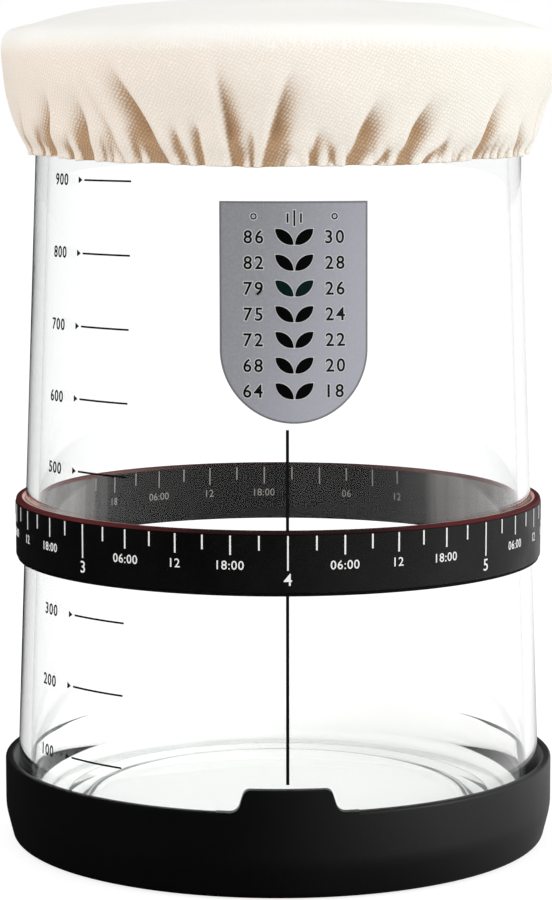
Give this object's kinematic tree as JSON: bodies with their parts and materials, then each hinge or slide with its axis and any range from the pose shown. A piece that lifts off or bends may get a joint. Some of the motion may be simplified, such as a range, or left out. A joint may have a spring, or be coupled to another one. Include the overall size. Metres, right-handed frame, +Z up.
{
  "type": "sourdough starter jar",
  "caption": "Tapered glass jar in a silicone sleeve, with a turning feeding band, a thermometer strip and a gathered cloth cover over its lid.",
  "frame": {"origin": "on the ground under the middle of the jar", "axes": "+Z up; the index line, the thermometer strip and the sleeve's tab face -Y; +X to the right seen from the front"},
  "size_m": [0.1098, 0.1098, 0.1664],
  "materials": {
    "sleeve_silicone": "matte",
    "clear_glass": "polished",
    "black_ink": "matte",
    "strip_backing": "matte",
    "strip_film": "satin",
    "crystal_cells": "satin",
    "liner_red": "satin",
    "band_black": "satin",
    "white_ink": "matte",
    "lid_wood": "oiled",
    "seal_silicone": "translucent",
    "cover_cotton": "woven",
    "hem_elastic": "knitted"
  },
  "bodies": {
    "base": {"silicone_base": "sleeve_silicone"},
    "jar": {"glass_jar": "clear_glass", "index_line": "black_ink", "volume_marks": "black_ink", "thermometer_backing": "strip_backing", "thermometer_film": "strip_film", "temperature_cells": "crystal_cells"},
    "band_carrier": {"band_liner": "liner_red"},
    "dial": {"feeding_band": "band_black", "dial_ticks": "white_ink"},
    "lid": {"lid": "lid_wood", "lid_gasket": "seal_silicone"},
    "cover": {"cloth_cover": "cover_cotton", "hem_elastic": "hem_elastic"}
  },
  "joints": [
    {"name": "jar_lift", "type": "slide", "parent": "base", "child": "jar", "axis": [0, 0, 1], "range_m": [0, 0.06]},
    {"name": "band_slide", "type": "slide", "parent": "jar", "child": "band_carrier", "axis": [0, 0, 1], "range_m": [0, 0.055]},
    {"name": "dial_turn", "type": "hinge", "parent": "band_carrier", "child": "dial", "pos_m": [0, 0, 0.0626], "axis": [0, 0, 1], "continuous": true},
    {"name": "lid_lift", "type": "slide", "parent": "jar", "child": "lid", "axis": [0, 0, 1], "range_m": [0, 0.05]},
    {"name": "cover_lift", "type": "slide", "parent": "lid", "child": "cover", "axis": [0, 0, 1], "range_m": [0, 0.06]}
  ]
}
